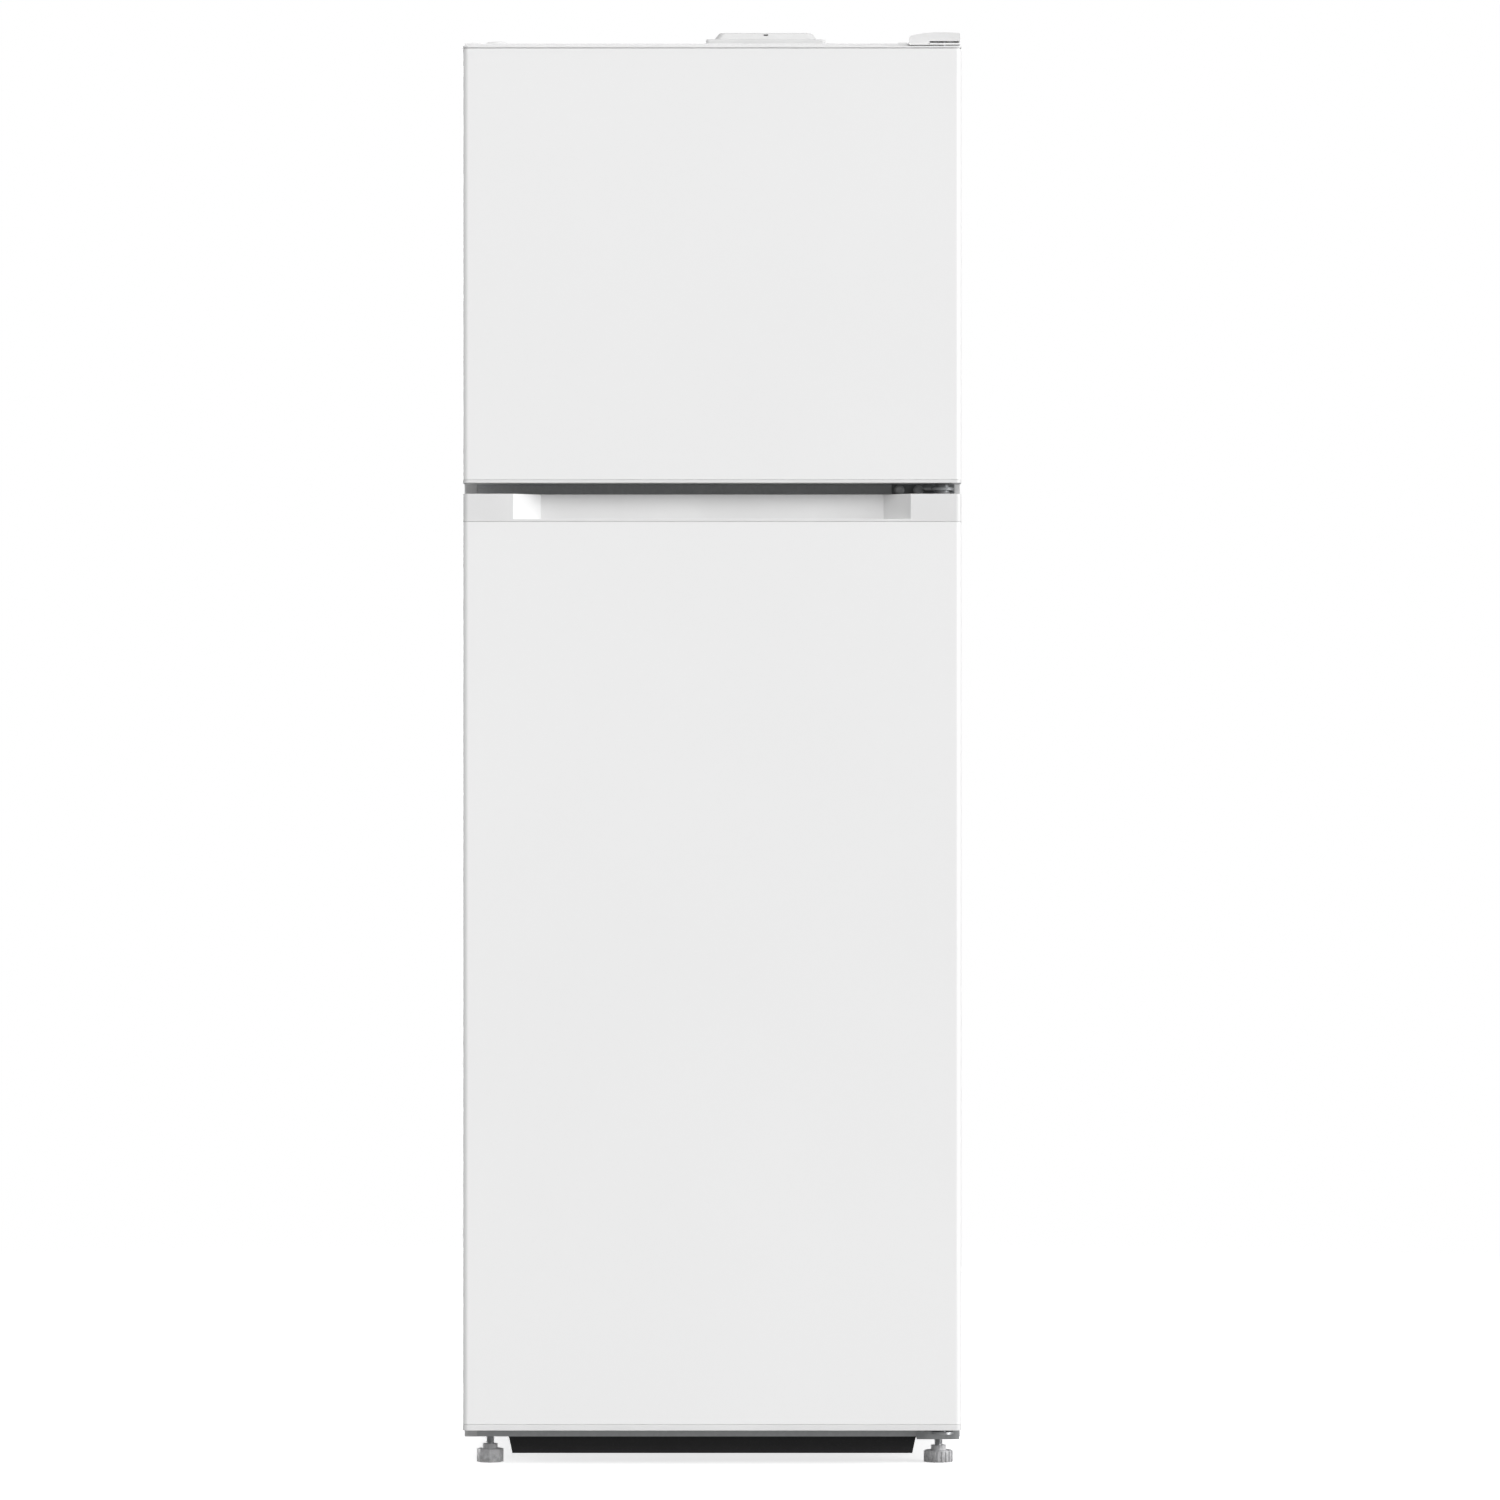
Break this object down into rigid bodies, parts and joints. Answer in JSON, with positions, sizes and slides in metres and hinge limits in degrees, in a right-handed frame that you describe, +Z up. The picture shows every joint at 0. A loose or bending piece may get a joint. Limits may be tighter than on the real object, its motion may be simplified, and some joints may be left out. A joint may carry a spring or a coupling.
{
  "type": "top freezer refrigerator",
  "caption": "White free-standing refrigerator with a freezer door over a taller fridge door, a recessed finger pocket between them and levelling feet",
  "frame": {"origin": "on the floor, under the middle of the cabinet's overall box", "axes": "+X to the right as seen from the front (the hinge side), +Y to the back, +Z up; the doors face -Y"},
  "size_m": [0.595, 0.655, 1.7235],
  "materials": {
    "painted_cabinet": "satin",
    "painted_door": "satin",
    "galvanised_steel": "satin",
    "zinc_fitting": "satin",
    "white_trim": "satin",
    "liner_plastic": "satin",
    "insulation_foam": "matte",
    "black_plastic": "matte",
    "grey_plastic": "matte",
    "compressor_enamel": "satin",
    "rubber_mount": "matte",
    "gasket_vinyl": "satin",
    "coil_enamel": "satin",
    "copper_pipe": "satin",
    "fin_aluminium": "satin",
    "circuit_board": "satin",
    "shelf_glass": "gloss",
    "clear_bin": "gloss",
    "lamp_diffuser": "satin",
    "foot_plastic": "satin"
  },
  "bodies": {
    "cabinet": {"side_panels": "painted_cabinet", "top_panel": "painted_cabinet", "back_panel": "galvanised_steel", "cabinet_floor": "galvanised_steel", "cabinet_foam": "insulation_foam", "freezer_liner": "liner_plastic", "fridge_liner": "liner_plastic", "centre_beam": "galvanised_steel", "lower_front_beam": "galvanised_steel", "toe_kick": "black_plastic", "base_plate": "galvanised_steel", "compressor": "compressor_enamel", "compressor_mounts": "rubber_mount", "condenser_coil": "coil_enamel", "drip_tray": "white_trim", "refrigerant_pipes": "copper_pipe", "machine_cover": "galvanised_steel", "evaporator": "fin_aluminium", "fan_motor": "grey_plastic", "freezer_duct_cover": "liner_plastic", "fridge_air_duct": "liner_plastic", "control_box_cover": "white_trim", "control_board": "circuit_board", "top_hinge": "zinc_fitting", "top_hinge_cover": "white_trim", "middle_hinge": "zinc_fitting", "bottom_hinge": "zinc_fitting", "hinge_screws": "zinc_fitting", "hole_plugs": "white_trim", "freezer_shelf": "shelf_glass", "ice_tray_holder": "white_trim", "ice_box": "white_trim", "fridge_shelves": "shelf_glass", "crisper_cover": "shelf_glass", "lamp_cover": "lamp_diffuser", "cord_inlet": "black_plastic"},
    "fan_blade": {"fan_blade": "grey_plastic"},
    "left_foot_stud": {"left_foot_stud": "zinc_fitting"},
    "left_foot": {"left_foot_base": "foot_plastic"},
    "right_foot_stud": {"right_foot_stud": "zinc_fitting"},
    "right_foot": {"right_foot_base": "foot_plastic"},
    "rear_roller_left": {"rear_roller_left": "black_plastic"},
    "rear_roller_right": {"rear_roller_right": "black_plastic"},
    "ice_tray": {"ice_tray": "white_trim"},
    "crisper_drawer": {"crisper_drawer": "clear_bin"},
    "temperature_dial": {"temperature_dial": "white_trim"},
    "freezer_door": {"freezer_door_skin": "painted_door", "freezer_door_top_cap": "white_trim", "freezer_door_bottom_cap": "white_trim", "freezer_door_liner": "liner_plastic", "freezer_door_foam": "insulation_foam", "freezer_door_gasket": "gasket_vinyl", "freezer_door_bins": "clear_bin"},
    "fridge_door": {"fridge_door_skin": "painted_door", "fridge_door_handle_cap": "white_trim", "fridge_door_bottom_cap": "white_trim", "fridge_door_liner": "liner_plastic", "fridge_door_foam": "insulation_foam", "fridge_door_gasket": "gasket_vinyl", "fridge_door_bins": "clear_bin"}
  },
  "joints": [
    {"name": "freezer_door_hinge", "type": "hinge", "parent": "cabinet", "child": "freezer_door", "pos_m": [0.2755, -0.3025, 1.7], "axis": [0, 0, 1], "range_deg": [0, 120]},
    {"name": "fridge_door_hinge", "type": "hinge", "parent": "cabinet", "child": "fridge_door", "pos_m": [0.2755, -0.3025, 1.1685], "axis": [0, 0, 1], "range_deg": [0, 120]},
    {"name": "crisper_drawer_slide", "type": "slide", "parent": "cabinet", "child": "crisper_drawer", "axis": [0, -1, 0], "range_m": [0, 0.19]},
    {"name": "left_foot_travel", "type": "slide", "parent": "cabinet", "child": "left_foot_stud", "axis": [0, 0, 1], "range_m": [-0.007, 0.0085]},
    {"name": "left_foot_turn", "type": "hinge", "parent": "left_foot_stud", "child": "left_foot", "pos_m": [-0.2675, -0.2375, 0], "axis": [0, 0, 1], "range_deg": [-1440, 1800]},
    {"name": "right_foot_travel", "type": "slide", "parent": "cabinet", "child": "right_foot_stud", "axis": [0, 0, 1], "range_m": [-0.007, 0.0085]},
    {"name": "right_foot_turn", "type": "hinge", "parent": "right_foot_stud", "child": "right_foot", "pos_m": [0.272, -0.2375, 0], "axis": [0, 0, 1], "range_deg": [-1440, 1800]},
    {"name": "left_roller_spin", "type": "hinge", "parent": "cabinet", "child": "rear_roller_left", "pos_m": [-0.2505, 0.2885, 0.015], "axis": [1, 0, 0], "continuous": true},
    {"name": "right_roller_spin", "type": "hinge", "parent": "cabinet", "child": "rear_roller_right", "pos_m": [0.2505, 0.2885, 0.015], "axis": [1, 0, 0], "continuous": true},
    {"name": "fan_spin", "type": "hinge", "parent": "cabinet", "child": "fan_blade", "pos_m": [0, 0.22, 1.4795], "axis": [0, 1, 0], "continuous": true},
    {"name": "ice_tray_twist", "type": "hinge", "parent": "cabinet", "child": "ice_tray", "pos_m": [-0.1675, 0, 1.5195], "axis": [0, 1, 0], "range_deg": [0, 120], "stiffness_Nm_per_rad": 0.05},
    {"name": "temperature_dial_turn", "type": "hinge", "parent": "cabinet", "child": "temperature_dial", "pos_m": [0, 0.23, 1.02509], "axis": [0, 1, 0], "range_deg": [0, 270]}
  ],
  "couplings": [
    {"joint": "crisper_drawer_slide", "follows": "fridge_door_hinge", "m_per_rad": 0.0859},
    {"joint": "left_foot_travel", "follows": "left_foot_turn", "m_per_rad": 0.00023873},
    {"joint": "right_foot_travel", "follows": "right_foot_turn", "m_per_rad": 0.00023873}
  ]
}
